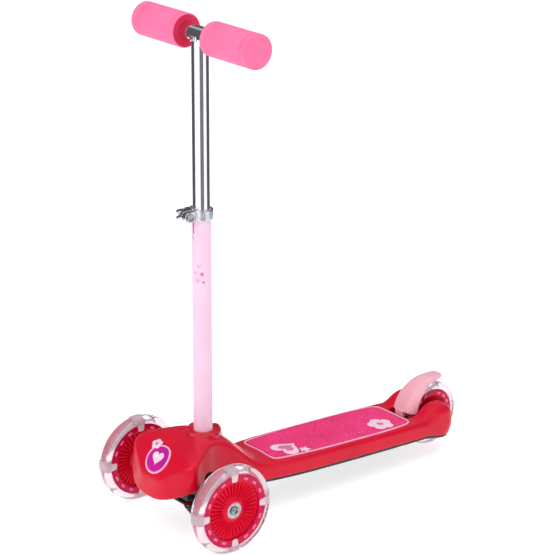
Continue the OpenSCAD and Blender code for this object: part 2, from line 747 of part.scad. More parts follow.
chassis();
body_shell();
deck_mat();
badge();
column_collar();
lower_tube();
tube_bush();
clamp_ring();
clamp_bolt();
clamp_nut();
cam_barrel();
clamp_lever();
upper_tube();
crossbar();
grip_left();
grip_right();
bar_plugs();
column_bolt();
column_nut();
kingpins();
centring_bushes();
knuckle_left();
knuckle_right();
tie_rod();
tie_rod_pins();
axle_bolt_left();
axle_bolt_right();
rear_axle();
rear_axle_nut();
rear_spacers();
deck_screws();
fender();
fender_pin();
fender_spring();
core_front_left();
tyre_front_left();
lamps_front_left();
windows_front_left();
bearings_front_left();
spacer_front_left();
core_front_right();
tyre_front_right();
lamps_front_right();
windows_front_right();
bearings_front_right();
spacer_front_right();
core_rear();
tyre_rear();
windows_rear();
bearings_rear();
spacer_rear();
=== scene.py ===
"""A small child's three-wheeled scooter: looks for each of its pieces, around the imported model."""
import math

import bpy
import numpy as np
from mathutils import Matrix, Vector


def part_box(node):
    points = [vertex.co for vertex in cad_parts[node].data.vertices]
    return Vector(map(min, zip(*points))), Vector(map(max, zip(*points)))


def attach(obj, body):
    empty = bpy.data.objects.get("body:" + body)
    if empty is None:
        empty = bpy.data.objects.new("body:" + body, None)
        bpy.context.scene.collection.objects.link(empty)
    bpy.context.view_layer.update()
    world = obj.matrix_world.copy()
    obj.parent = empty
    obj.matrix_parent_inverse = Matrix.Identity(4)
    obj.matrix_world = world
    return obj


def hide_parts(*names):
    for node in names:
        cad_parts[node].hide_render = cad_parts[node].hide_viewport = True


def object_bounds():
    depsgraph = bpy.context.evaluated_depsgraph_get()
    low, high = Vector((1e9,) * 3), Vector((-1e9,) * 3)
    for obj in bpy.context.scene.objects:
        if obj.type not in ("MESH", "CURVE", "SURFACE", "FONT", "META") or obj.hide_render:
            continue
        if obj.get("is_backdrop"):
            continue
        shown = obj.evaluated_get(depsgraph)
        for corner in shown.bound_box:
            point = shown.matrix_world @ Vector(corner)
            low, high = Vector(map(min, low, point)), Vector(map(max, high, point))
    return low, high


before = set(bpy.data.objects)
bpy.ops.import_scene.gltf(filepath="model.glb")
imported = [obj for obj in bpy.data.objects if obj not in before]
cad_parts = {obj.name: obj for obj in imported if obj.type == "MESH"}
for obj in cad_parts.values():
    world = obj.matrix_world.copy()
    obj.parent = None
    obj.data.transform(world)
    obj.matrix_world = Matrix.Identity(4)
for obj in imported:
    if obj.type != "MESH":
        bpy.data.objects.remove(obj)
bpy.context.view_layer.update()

# ---- Stand ----
# A pale, even floor under wide soft boxes, and a long lens from the rider's front left.
# Dark screens before and behind the scooter, seen only in reflections, draw the dark bands in the plating.
stand = bpy.context.scene
stand.view_settings.view_transform = "Standard"


def look_from(azimuth, elevation, roll=0.0):
    """Right, up and back of something that looks at the scooter from that side."""
    a, e, t = (math.radians(v) for v in (azimuth, elevation, roll))
    back = Vector((math.sin(a) * math.cos(e), -math.cos(a) * math.cos(e), math.sin(e)))
    right = Vector((math.cos(a), math.sin(a), 0))
    up = back.cross(right)
    turned = math.cos(t) * right + math.sin(t) * up
    return turned, math.cos(t) * up - math.sin(t) * right, back


def aimed(thing, target, distance, sides):
    """Links a camera or a light and puts it at that distance from its target."""
    right, up, back = sides
    holder = bpy.data.objects.new(thing.name, thing)
    stand.collection.objects.link(holder)
    rows = Matrix((right, up, back)).transposed().to_4x4()
    holder.matrix_world = Matrix.Translation(Vector(target) + back * distance) @ rows
    return holder


lens = bpy.data.cameras.new("lens")
lens.lens, lens.sensor_width = 141.1, 36.0
lens.clip_start, lens.clip_end = 0.05, 100.0
stand.camera = aimed(lens, (0, -0.0528, 0.3123), 2.88783, look_from(51.443, 19.467, 0.225))

# each soft box: azimuth, elevation, distance, width and height in metres, power in watts
SOFT_BOXES = {
    "overhead": (51, 84, 2.6, 3.4, 3.4, 34),
    "key": (8, 38, 3.0, 1.8, 1.8, 26),
    "fill": (108, 22, 3.2, 1.6, 1.6, 9),
    "behind": (205, 30, 3.2, 1.8, 1.8, 12),
}
for box_name, (azimuth, elevation, distance, wide, high, power) in SOFT_BOXES.items():
    light = bpy.data.lights.new(box_name, "AREA")
    light.shape, light.size, light.size_y, light.energy = "RECTANGLE", wide, high, power
    aimed(light, (0, 0, 0.25), distance, look_from(azimuth, elevation))

sky = bpy.data.worlds.new("sky")
sky.use_nodes = True
sky.node_tree.nodes["Background"].inputs["Color"].default_value = (0.93, 0.95, 1.0, 1)
sky.node_tree.nodes["Background"].inputs["Strength"].default_value = 0.5
stand.world = sky

floor_half = 30.0
floor_mesh = bpy.data.meshes.new("floor")
floor_mesh.from_pydata(
    [(-floor_half, -floor_half, 0), (floor_half, -floor_half, 0),
     (floor_half, floor_half, 0), (-floor_half, floor_half, 0)], [], [(0, 1, 2, 3)])
floor = bpy.data.objects.new("floor", floor_mesh)
stand.collection.objects.link(floor)
paper = bpy.data.materials.new("paper")
paper.use_nodes = True
sheet = paper.node_tree.nodes["Principled BSDF"]
sheet.inputs["Base Color"].default_value = (0.6, 0.6, 0.6, 1)
sheet.inputs["Roughness"].default_value = 0.9
sheet.inputs["Specular IOR Level"].default_value = 0.1
sheet.inputs["Emission Color"].default_value = (1, 1, 1, 1)
sheet.inputs["Emission Strength"].default_value = 0.72
floor_mesh.materials.append(paper)
floor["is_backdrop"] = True

# each dark screen: azimuths it spans, distance, and how dark it is
for screen, first, last, away, shade in (("screen_front", 40, 86, 1.25, 0.22),
                                         ("screen_back", 131, 336, 1.15, 0.1)):
    t = np.radians(np.linspace(first, last, 24))
    ring = [(away * math.sin(a), -away * math.cos(a)) for a in t]
    screen_mesh = bpy.data.meshes.new(screen)
    screen_mesh.from_pydata([(x, y, z) for z in (0.0, 1.5) for x, y in ring], [],
                            [(i, i + 1, i + 25, i + 24) for i in range(23)])
    cloth = bpy.data.materials.new(screen)
    cloth.use_nodes = True
    weave = cloth.node_tree.nodes["Principled BSDF"].inputs
    weave["Base Color"].default_value = (shade, shade, shade * 1.05, 1)
    weave["Specular IOR Level"].default_value = 0.0
    screen_mesh.materials.append(cloth)
    hung = bpy.data.objects.new(screen, screen_mesh)
    stand.collection.objects.link(hung)
    hung.visible_camera = hung.visible_diffuse = hung.visible_shadow = hung.visible_transmission = False
    hung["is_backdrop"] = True

# ---- Front cover, neck, deck and rear arms ----
# One red moulding in satin polypropylene, open underneath, screwed on the tray from below.
# The hood flares over the steering, scoops in behind each front wheel and runs back into the deck.
MM = 0.001


def middle(node):
    low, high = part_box(node)
    return (low + high) / 2 / MM


axle_y = middle("tyre_front_left").y
wheel_x = middle("tyre_front_left").x
front_r = middle("tyre_front_left").z
rear_hub = middle("tyre_rear")
rear_y, rear_r = rear_hub.y - axle_y, rear_hub.z
column_y = middle("lower_tube").y - axle_y


def placed(points):
    """From millimetres behind the front axle to metres in the scooter's frame."""
    return (np.asarray(points, float) + (0, axle_y, 0)) * MM


def tint(r, g, b):
    """A colour given in steps of 0 to 255, as the shader's own numbers."""
    return tuple(((v / 255 + 0.055) / 1.055) ** 2.4 for v in (r, g, b)) + (1.0,)


def finish_with(name, light, dark, rough, patch=40.0, grain=1500.0, bump=0.06, uneven=0.06, metal=0.0):
    """A finish that drifts between two shades in soft patches, with a fine grain in gloss and height."""
    made = bpy.data.materials.new(name)
    made.use_nodes = True
    tree = made.node_tree
    shader = tree.nodes["Principled BSDF"]
    where = tree.nodes.new("ShaderNodeTexCoord")
    cloud = tree.nodes.new("ShaderNodeTexNoise")
    cloud.inputs["Scale"].default_value = patch
    cloud.inputs["Detail"].default_value = 3
    shades = tree.nodes.new("ShaderNodeValToRGB")
    shades.name = "shades"
    shades.color_ramp.elements[0].position, shades.color_ramp.elements[0].color = 0.35, dark
    shades.color_ramp.elements[1].position, shades.color_ramp.elements[1].color = 0.65, light
    fine = tree.nodes.new("ShaderNodeTexNoise")
    fine.inputs["Scale"].default_value = grain
    gloss = tree.nodes.new("ShaderNodeMapRange")
    gloss.inputs["To Min"].default_value = max(0.02, rough - uneven)
    gloss.inputs["To Max"].default_value = rough + uneven
    relief = tree.nodes.new("ShaderNodeBump")
    relief.inputs["Strength"].default_value = bump
    relief.inputs["Distance"].default_value = 0.0002
    join = tree.links.new
    join(where.outputs["Object"], cloud.inputs["Vector"])
    join(where.outputs["Object"], fine.inputs["Vector"])
    join(cloud.outputs["Fac"], shades.inputs["Fac"])
    join(shades.outputs["Color"], shader.inputs["Base Color"])
    join(fine.outputs["Fac"], gloss.inputs["Value"])
    join(gloss.outputs["Result"], shader.inputs["Roughness"])
    join(fine.outputs["Fac"], relief.inputs["Height"])
    join(relief.outputs["Normal"], shader.inputs["Normal"])
    shader.inputs["Metallic"].default_value = metal
    return made


def piece(name, points, faces, finish, body, *stands_for, slot=None, smooth=True):
    """A mesh in place on its body, standing for the plain solids it is named with."""
    mesh = bpy.data.meshes.new(name)
    mesh.from_pydata(np.asarray(points).tolist(), [], [tuple(f) for f in np.asarray(faces, object).tolist()]
                     if isinstance(faces, list) else faces.tolist())
    mesh.polygons.foreach_set("use_smooth", [smooth] * len(mesh.polygons))
    mesh.materials.append(finish)
    made = bpy.data.objects.new(name, mesh)
    stand.collection.objects.link(made)
    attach(made, body)
    if stands_for:
        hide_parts(*stands_for)
    return made


def soft_min(a, b, reach):
    return np.minimum(a, b) - np.maximum(reach - np.abs(a - b), 0) ** 2 / (4 * reach)


def soft_max(a, b, reach):
    return -soft_min(-a, -b, reach)


def skin(field, low, high, step, rounds=3):
    """Quads over the surface where the field is zero, drawn onto it."""
    lines = [np.arange(a, b + step, step) for a, b in zip(low, high)]
    value = np.empty([len(line) for line in lines])
    y, z = np.meshgrid(lines[1], lines[2], indexing="ij")
    for i, x in enumerate(lines[0]):
        value[i] = field(np.stack([np.full(y.size, x), y.ravel(), z.ravel()], 1)).reshape(y.shape)
    inside = value < 0
    cells = [slice(0, -1), slice(1, None)]
    filled = sum(inside[cells[i], cells[j], cells[k]].astype(int)
                 for i in (0, 1) for j in (0, 1) for k in (0, 1))
    active = (filled > 0) & (filled < 8)
    index = np.full(active.shape, -1)
    index[active] = np.arange(active.sum())
    cell = np.argwhere(active)
    total, hits = np.zeros((len(cell), 3)), np.zeros(len(cell))
    for axis in range(3):
        step_on = np.eye(3, dtype=int)[axis]
        for corner in ((i, j, k) for i in (0, 1) for j in (0, 1) for k in (0, 1)):
            if corner[axis]:
                continue
            start = cell + corner
            a, b = value[tuple(start.T)], value[tuple((start + step_on).T)]
            across = (a < 0) != (b < 0)
            share = np.where(across, a / np.where(across, a - b, 1), 0)
            total += (start + share[:, None] * step_on) * across[:, None]
            hits += across
    points = np.array(low) + step * total / hits[:, None]
    faces = []
    for axis in range(3):
        u, v = (axis + 1) % 3, (axis + 2) % 3
        here = np.take(inside, range(inside.shape[axis] - 1), axis)
        there = np.take(inside, range(1, inside.shape[axis]), axis)
        edge = np.argwhere(here != there)
        edge = edge[(edge[:, u] > 0) & (edge[:, v] > 0)
                    & (edge[:, u] < inside.shape[u] - 1) & (edge[:, v] < inside.shape[v] - 1)]
        ring = []
        for du, dv in ((1, 1), (0, 1), (0, 0), (1, 0)):
            at = edge.copy()
            at[:, u] -= du
            at[:, v] -= dv
            ring.append(index[tuple(at.T)])
        quad = np.stack(ring, 1)
        flip = ~here[tuple(edge.T)]
        quad[flip] = quad[flip][:, ::-1]
        faces.append(quad)
    for _ in range(rounds):
        slope = np.stack([(field(points + d) - field(points - d)) / 0.2 for d in np.eye(3) * 0.1], 1)
        move = field(points)[:, None] * slope / np.maximum((slope ** 2).sum(1), 0.05)[:, None]
        length = np.maximum(np.linalg.norm(move, axis=1), 1e-9)[:, None]
        points -= move * np.minimum(1, 0.6 * step / length)
    return points, np.concatenate(faces)


# distance back from the front axle, and the half width, the spine's height and the fall to the shoulders
SIDE = np.array([(-60, 96), (-40, 82), (-33, 74), (-27, 68), (-21, 64), (-14, 61), (-9, 58.5), (-2, 52.4),
                 (8, 45.4), (19, 40.4), (28, 37.8), (37, 36.8), (50, 37), (62, 38), (76, 40), (90, 42.4),
                 (105, 44.5), (125, 46.8), (150, 49), (188, 50.5), (260, 51), (325, 50.5), (384, 49.3),
                 (430, 47.5), (452, 46)], float)
SPINE = np.array([(-20, 100), (-8, 115), (4, 121.5), (18, 123.5), (34, 124.6), (46, 123), (55, 118),
                  (65, 110), (75, 100.5), (85, 91), (92, 84.5), (99, 79.2), (108, 74.2), (116, 71.4),
                  (125, 70.0), (460, 56.0)], float)
FALL = np.array([(-10, 1), (10, 2), (20, 4), (36, 8), (48, 10.5), (59, 10.5), (75, 10), (90, 7.5), (99, 5.5),
                 (110, 2.6), (120, 0.8), (127, 0)], float)
FOOT = np.array([(-62, 56), (20, 56), (40, 54), (78, 50), (125, 47.6), (395, 36.0), (412, 31.5),
                 (437, 27.5), (452, 27.5)], float)
slot_half, slot_y = 21.3, 378.0
arm_y, arm_z, arm_reach = 422.5, 48.5, 26.2


def along(table, y, spread=4.0):
    """A table's value at y, evened over a few millimetres."""
    return sum(np.interp(y + d, table[:, 0], table[:, 1]) for d in (-spread, 0, spread)) / 3


def hood(x, y, z):
    """The hood: wide, rounded on top, sloping back at the front, and turned under a crease at its sides."""
    half_x, half_y, mid_y, mid_z, lean = 68.85, 36.99, -3.61, 98.01, 0.43
    half_z = np.where(z > mid_z, 25.6, 50.08)
    back = y - mid_y - lean * (z - mid_z)
    plan = ((x / half_x) ** 3.87 + np.abs(back / half_y) ** 3.87) ** (1 / 3.87)
    round_off = np.where(z > mid_z, 2.6, 3.79)
    rounded_size = (plan ** round_off + np.abs((z - mid_z) / half_z) ** round_off) ** (1 / round_off)
    size = np.maximum(rounded_size, 1e-3)
    reach = np.sqrt(x ** 2 + back ** 2 + (z - mid_z) ** 2)
    away = (1 - 1 / size) * reach
    crease = 70 + 0.66 * x
    below = np.clip((crease - z) / np.maximum(crease - 58, 6), 0, 1)
    strength = np.clip((x + 4) / 34, 0, 1) ** 1.5 * np.clip((y + 58) / 14, 0.15, 1)
    lip = np.clip((78 - z) / 20, 0, 1) ** 1.5 * np.clip((52 - x) / 15, 0, 1) * np.clip((-y - 20) / 15, 0, 1)
    bulge = np.exp(-((z - crease) / 14) ** 2)
    ridge = strength * np.where(z > crease, -1.5 - 5.5 * bulge, -7 + 14 * below)
    swell = 7 * np.exp(-(((z - 85) / 17) ** 2 + (x / 34) ** 4)) * np.clip((-y - 12) / 25, 0, 1)
    return away - swell + ridge - 4 * lip


def outside(x, y, z):
    """How far a point is outside the moulding's outer surface, in millimetres."""
    side = along(SIDE, y) + np.clip(110 - z, 0, 60) * 0.07 * np.clip((95 - y) / 60, 0, 1)
    lean = (along(SIDE, y + 1) - along(SIDE, y - 1)) / 2
    beside = (x - side) / np.sqrt(1 + lean ** 2)
    top = along(SPINE, y) - along(FALL, y) * np.minimum(x / 38, 1.4) ** 2.5
    rise = (along(SPINE, y + 1) - along(SPINE, y - 1)) / 2
    over = (z - top) / np.sqrt(1 + rise ** 2)
    over = np.maximum(np.maximum(over, y - 436), -4 - y)
    arm = ((np.abs(y - arm_y) / arm_reach) ** 2.4 + (np.abs(z - arm_z) / arm_reach) ** 2.4) ** (1 / 2.4)
    arm = (arm - 1) * arm_reach
    deck = soft_min(over, np.maximum(arm, 14 - x), 16)
    body = soft_min(hood(x, y, z), deck, 9)
    edge = 6 + 2 * np.clip((y - 100) / 40, 0, 1) + 9 * np.clip((y - 380) / 30, 0, 1)
    body = soft_max(body, beside, edge)
    return soft_max(body, soft_min(slot_half - x, y - slot_y, 8), 4)


def cover_field(p):
    x, y, z = np.abs(p[:, 0]), p[:, 1], p[:, 2]
    outer, d = outside(x, y, z), 0.3
    steep = ((outside(x + d, y, z) - outer) ** 2 + (outside(x, y + d, z) - outer) ** 2
             + (outside(x, y, z + d) - outer) ** 2) ** 0.5 / d
    outer = outer / np.clip(steep, 0.5, 4)
    shell = soft_max(outer, -(outer + 2.8), 1)
    foot = along(FOOT, y) + 0.0048 * x ** 2 * np.clip((20 - y) / 30, 0, 1)
    shell = soft_max(shell, foot - z, 1.2)
    arch = np.sqrt((y - 2) ** 2 + (z - 58) ** 2)
    shell = soft_max(shell, np.minimum(30 - arch, x - 30), 2)
    return soft_max(shell, 13.2 - np.hypot(x, y - column_y), 0.6)


satin_red = finish_with("satin_red", tint(222, 4, 50), tint(210, 0, 42), 0.4, patch=18, grain=2200,
                        bump=0.10, uneven=0.04)
red_shader = satin_red.node_tree.nodes["Principled BSDF"]
for socket_name, amount in (("Specular IOR Level", 0.12), ("Coat Weight", 0.7), ("Coat IOR", 1.25),
                            ("Coat Roughness", 0.2)):
    red_shader.inputs[socket_name].default_value = amount
cover_points, cover_faces = skin(cover_field, (-72, -62, 22), (72, 454, 132), 1.7)
piece("cover", placed(cover_points), cover_faces, satin_red, "frame", "body_shell", slot="red_cover")

# ---- Tray ----
# Black glass-filled nylon: a ribbed tray that closes the deck and the arms from below.
# It carries the column's socket, the kingpin ears, and the lugs of the rear axle and the brake's pin.
nylon = finish_with("black_nylon", tint(34, 33, 36), tint(20, 19, 22), 0.48, patch=90, grain=2600,
                    bump=0.25)


def tray_edge_field(p):
    x, y, z = np.abs(p[:, 0]), p[:, 1], p[:, 2]
    foot = along(FOOT, y)
    ring = soft_max(outside(x, y, np.maximum(z, foot)) + 1.1, foot - 4.2 - z, 2)
    ring = np.maximum(ring, z - foot - 2)
    hollow = np.maximum(outside(x, y, np.maximum(z, foot)) + 4, 92 - y)
    return np.maximum(np.maximum(ring, -hollow), 84 - y)


tray_points, tray_faces = skin(tray_edge_field, (-54, 82, 20), (54, 452, 56), 2.0, rounds=2)
piece("tray_edge", placed(tray_points), tray_faces, nylon, "frame", slot="black_tray")


def repaint(finish, *nodes):
    """Gives solids that stay as they are their finish."""
    for node in nodes:
        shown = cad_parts[node]
        if not shown.material_slots:
            shown.data.materials.append(finish)
        for place in shown.material_slots:
            place.material = finish


repaint(nylon, "chassis", "knuckle_left", "knuckle_right", "tie_rod")

# ---- Screws, pins and springs ----
# Zinc-plated steel: kingpins, tie rod pins, deck screws, column bolt, rear axle, brake pin and spring.
# The kingpins' bushes are cast urethane.
zinc = finish_with("zinc_plate", tint(190, 190, 194), tint(150, 151, 156), 0.30, patch=160, grain=2400,
                   bump=0.08, uneven=0.1, metal=1.0)
urethane = finish_with("urethane", tint(212, 170, 110), tint(196, 150, 92), 0.5, patch=120, grain=1400)
repaint(zinc, "kingpins", "tie_rod_pins", "deck_screws", "column_bolt", "column_nut", "rear_axle",
        "rear_axle_nut", "rear_spacers", "fender_pin", "fender_spring", "cam_barrel", "clamp_bolt")
repaint(urethane, "centring_bushes")

# ---- Grip mat ----
# A thin printed rubber mat stuck in the deck's recess, hot pink with a raised pale border.
# Two pale emblems are printed on it, a heart with a star in front and a flower behind.
mat_low, mat_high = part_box("deck_mat")
mat_front = mat_low.y / MM - axle_y
MAT_SIDE = [(0, 1.6), (16, 0.4), (27, -0.6), (33.5, 1.2), (37, 5.5), (38.6, 14), (42, 57), (43.6, 90),
            (44, 130), (44, 180), (43.2, 207), (41, 229), (38.6, 239), (34, 244.6), (26, 246), (0, 246.4)]


def rounded(corners, times=3):
    """A closed outline with its corners cut again and again until it is a smooth curve."""
    line = np.array(corners, float)
    for _ in range(times):
        after = np.roll(line, -1, axis=0)
        line = np.stack([0.75 * line + 0.25 * after, 0.25 * line + 0.75 * after], 1).reshape(-1, 2)
    return line


def on_deck(points, lift):
    """Points (x, distance from the mat's front edge) laid on the deck's sloping top."""
    points = np.asarray(points, float)
    y = points[:, 1] + mat_front
    return np.stack([points[:, 0], y, along(SPINE, np.maximum(y, 127)) + lift], 1)


def inset(line, by):
    """A closed outline drawn in by a distance."""
    along_line = np.roll(line, -1, axis=0) - np.roll(line, 1, axis=0)
    along_line /= np.linalg.norm(along_line, axis=1)[:, None]
    area = np.sum(line[:, 0] * np.roll(line[:, 1], -1) - line[:, 1] * np.roll(line[:, 0], -1))
    inwards = np.stack([-along_line[:, 1], along_line[:, 0]], 1) * np.sign(area)
    return line + inwards * by


def bands(rings, first=0):
    """Quads between rings of as many points each."""
    n = len(rings[0])
    i = np.arange(n)
    return np.concatenate([np.stack([first + k * n + i, first + k * n + (i + 1) % n,
                                     first + (k + 1) * n + (i + 1) % n, first + (k + 1) * n + i], 1)
                           for k in range(len(rings) - 1)])


mat_line = rounded(MAT_SIDE + [(-x, y) for x, y in MAT_SIDE[-2:0:-1]], 2)
border = finish_with("mat_border", tint(252, 196, 220), tint(246, 176, 208), 0.42, patch=60, grain=900)
border_rings = [on_deck(inset(mat_line, d), lift) for d, lift in
                ((0, -0.6), (0.05, 0.9), (0.5, 1.25), (1.7, 1.25), (2.2, 0.95), (2.3, 0.2))]
piece("mat_border", placed(np.concatenate(border_rings)), bands(border_rings), border, "frame",
      slot="mat_pink")


def speckled(name, ground, deep, spot, scale, size, rough):
    """A finish with small round spots scattered over its two shades."""
    made = finish_with(name, ground, deep, rough, patch=26, grain=2200, bump=0.03, uneven=0.04)
    tree = made.node_tree
    dots = tree.nodes.new("ShaderNodeTexVoronoi")
    dots.inputs["Scale"].default_value = scale
    where = next(n for n in tree.nodes if n.bl_idname == "ShaderNodeTexCoord")
    near = tree.nodes.new("ShaderNodeMath")
    near.operation = "LESS_THAN"
    near.inputs[1].default_value = size
    blend = tree.nodes.new("ShaderNodeMix")
    blend.data_type = "RGBA"
    blend.inputs[7].default_value = spot
    tree.links.new(where.outputs["Object"], dots.inputs["Vector"])
    tree.links.new(dots.outputs["Distance"], near.inputs[0])
    tree.links.new(near.outputs[0], blend.inputs[0])
    tree.links.new(tree.nodes["shades"].outputs["Color"], blend.inputs[6])
    tree.links.new(blend.outputs[2], tree.nodes["Principled BSDF"].inputs["Base Color"])
    return made


mat_rings = [on_deck(mat_line * (1 - s, 1 - s) + (0, 123 * s), lift)
             for s, lift in ((0.035, 0.1), (0.035, 0.8), (0.042, 1.0), (0.2, 1.0), (0.4, 1.0), (0.6, 1.0),
                             (0.8, 1.0), (0.97, 1.0))]
mat_faces = bands(mat_rings).tolist() + [list(range((len(mat_rings) - 1) * len(mat_line),
                                                    len(mat_rings) * len(mat_line)))]
printed = speckled("mat_print", tint(250, 30, 122), tint(234, 14, 104), tint(255, 150, 196), 420, 0.2, 0.5)
piece("mat", placed(np.concatenate(mat_rings)), mat_faces, printed, "frame", "deck_mat", slot="mat_pink")


def heart(size, turn=0.0, steps=64):
    t = np.linspace(0, 2 * np.pi, steps, endpoint=False)
    x = 16 * np.sin(t) ** 3
    y = 13 * np.cos(t) - 5 * np.cos(2 * t) - 2 * np.cos(3 * t) - np.cos(4 * t) + 2.5
    return turned_by(np.stack([x, y], 1) * size / 32, turn)


def star(size, points=5, depth=0.5, turn=0.0, steps=80):
    t = np.linspace(0, 2 * np.pi, steps, endpoint=False)
    wave = np.abs((t * points / (2 * np.pi) + 0.5) % 1 - 0.5) * 2
    r = size / 2 * (1 - depth * wave)
    return turned_by(np.stack([r * np.sin(t), r * np.cos(t)], 1), turn)


def flower(size, petals=5, turn=0.0, steps=80):
    t = np.linspace(0, 2 * np.pi, steps, endpoint=False)
    r = size / 2 * (0.72 + 0.28 * np.abs(np.cos(t * petals / 2)) ** 0.7)
    return turned_by(np.stack([r * np.sin(t), r * np.cos(t)], 1), turn)


def turned_by(points, degrees):
    a = math.radians(degrees)
    return points @ np.array(((math.cos(a), math.sin(a)), (-math.sin(a), math.cos(a))))


def emblem(name, outline, put, lift, finish, slot, rings=5):
    """A thin printed or moulded figure, laid on a surface by put(points, lift)."""
    shares = np.linspace(1, 0.02, rings)
    rows = [put(outline, lift - 0.5), put(outline * 0.995, lift - 0.05)] + [put(outline * s * 0.985, lift)
                                                                          for s in shares]
    faces = bands(rows).tolist() + [list(range((len(rows) - 1) * len(outline), len(rows) * len(outline)))]
    return piece(name, placed(np.concatenate(rows)), faces, finish, "frame", slot=slot)


def at(x, y, put=on_deck):
    return lambda points, lift: put(points + (x, y), lift)


pale_print = finish_with("pale_print", tint(250, 226, 238), tint(240, 206, 224), 0.5, patch=220, grain=2400)
rose_print = finish_with("rose_print", tint(236, 120, 176), tint(226, 96, 158), 0.5, patch=220, grain=2400)
emblem("mat_heart", heart(42, 202), at(14, 40), 1.25, pale_print, "mat_pink")
emblem("mat_heart_inner", heart(23, 202), at(14, 40), 1.4, rose_print, "mat_pink")
emblem("mat_star", star(17, 5, 0.5, 190), at(32, 56), 1.25, pale_print, "mat_pink")
emblem("mat_flower", flower(38, 5, 15), at(19, 203), 1.25, pale_print, "mat_pink")
emblem("mat_flower_eye", flower(11, 5, 15), at(19, 203), 1.4, rose_print, "mat_pink")
for k, (px, py, size) in enumerate(((26, 150, 4.5), (27, 157, 4.5), (28, 164, 4.5))):
    emblem(f"mat_dot_{k}", star(size, 5, 0.4), at(px, py), 1.25, rose_print, "mat_pink", rings=2)

# ---- Badge ----
# A domed plastic badge, magenta to violet with a pale moulded rim, stuck on the sloping front of the hood.
# A raised heart is in its middle, and a small pale flower is stuck above it.
BADGE_SPOT = np.array([0.0, -38.0, 103.0])


def outer_at(p):
    return outside(np.abs(p[:, 0]), p[:, 1], p[:, 2])


def slope_at(p):
    return np.stack([(outer_at(p + d) - outer_at(p - d)) / 0.4 for d in np.eye(3) * 0.2], 1)


def on_hood(points, lift):
    """Points (across, up) wrapped onto the hood's front around the badge's spot."""
    points = np.asarray(points, float)
    p = BADGE_SPOT[None] + 0
    for _ in range(4):
        g = slope_at(p)
        p = p - outer_at(p)[:, None] * g / (g ** 2).sum(1)[:, None]
    n = slope_at(p)[0]
    n /= np.linalg.norm(n)
    across = np.array([1.0, 0, 0])
    upward = np.cross(across, n) * -1
    upward = upward if upward[2] > 0 else -upward
    p = p[0] + points[:, :1] * across + points[:, 1:] * upward
    for _ in range(5):
        g = slope_at(p)
        steep = np.sqrt((g ** 2).sum(1))[:, None]
        p = p - (outer_at(p)[:, None] / steep - lift) * g / steep
    return p


badge_r = 21.0
round_line = star(2 * badge_r, 1, 0.0, steps=64)
violet = finish_with("badge_violet", tint(214, 20, 150), tint(150, 24, 150), 0.22, patch=35, grain=900,
                     bump=0.02)
rim_rings = [on_hood(round_line * s, lift) for s, lift in
             ((1.0, -0.4), (1.0, 0.8), (0.975, 1.25), (0.91, 1.25), (0.885, 0.9), (0.88, 0.2))]
piece("badge_rim", placed(np.concatenate(rim_rings)), bands(rim_rings), border, "frame",
      slot="badge_magenta")
dome_rings = [on_hood(round_line * s, lift) for s, lift in ((0.9, 0.1), (0.89, 0.75), (0.8, 1.0), (0.6, 1.15),
                                                            (0.4, 1.25), (0.2, 1.3), (0.02, 1.3))]
dome_faces = bands(dome_rings).tolist() + [list(range(6 * 64, 7 * 64))]
piece("badge_face", placed(np.concatenate(dome_rings)), dome_faces, violet, "frame", "badge",
      slot="badge_magenta")
emblem("badge_heart", heart(20, 8), at(0, -0.5, on_hood), 1.9, pale_print, "badge_magenta", rings=4)
emblem("badge_flower", flower(17, 5, 20), at(-17, 17, on_hood), 1.9, pale_print, "badge_magenta", rings=4)
emblem("badge_flower_eye", flower(5.5, 5, 20), at(-17, 17, on_hood), 2.2, rose_print, "badge_magenta",
       rings=2)

# ---- Column collar ----
# A red collar with four soft lobes and a dished top, pushed down over the column onto the neck.
COLLAR = [(13.0, 115), (12.9, 127.2), (13.6, 128.1), (15, 127.7), (16.8, 126.4), (18.6, 126.2), (20.4, 127.6),
          (22.4, 128.2), (24.2, 127.2), (25.2, 125), (25.6, 122.6), (26, 120), (26.8, 115)]


def lathed(outline, steps, around="z", wave=None, closed=False):
    """Rings of an outline (radius, height) turned about an axis, as points and quads."""
    t = np.linspace(0, 2 * np.pi, steps, endpoint=False)
    rings = []
    for r, h in outline:
        grow, lift = wave(t, r, h) if wave else (0, 0)
        a, b, c = (r + grow) * np.cos(t), (r + grow) * np.sin(t), h + lift + 0 * t
        rings.append(np.stack((c, a, b) if around == "x" else (a, b, c), 1))
    faces = bands(rings)
    if closed:
        last, n = (len(rings) - 1) * steps, np.arange(steps)
        faces = np.concatenate([faces, np.stack([last + n, last + (n + 1) % steps, (n + 1) % steps, n], 1)])
    return np.concatenate(rings), faces


def lobes(t, r, h):
    share = np.clip((r - 15) / 8, 0, 1)
    return share * (1.3 * np.cos(4 * t) - 0.6), share * (1.3 * np.cos(4 * t) - 0.6)


collar_red = finish_with("collar_red", tint(214, 2, 46), tint(198, 0, 38), 0.24, patch=30, grain=1800,
                         bump=0.04)
collar_points, collar_faces = lathed(rounded(COLLAR, 1)[:-2], 128, wave=lobes)
piece("collar", placed(collar_points + (0, column_y, 0)), collar_faces[:, ::-1], collar_red, "frame",
      "column_collar", slot="collar_red")

# ---- Lower tube ----
# Steel tube, powder coated pale pink with a fine speckle, bolted in the neck.
# A slot with a round end is cut in the front of its top so that the clamp can squeeze it.
def arc(r, h, radius, start, end, steps=5):
    """Points of an outline's rounded corner, centred on (r, h)."""
    return [(r + radius * math.cos(math.radians(a)), h + radius * math.sin(math.radians(a)))
            for a in np.linspace(start, end, steps)]


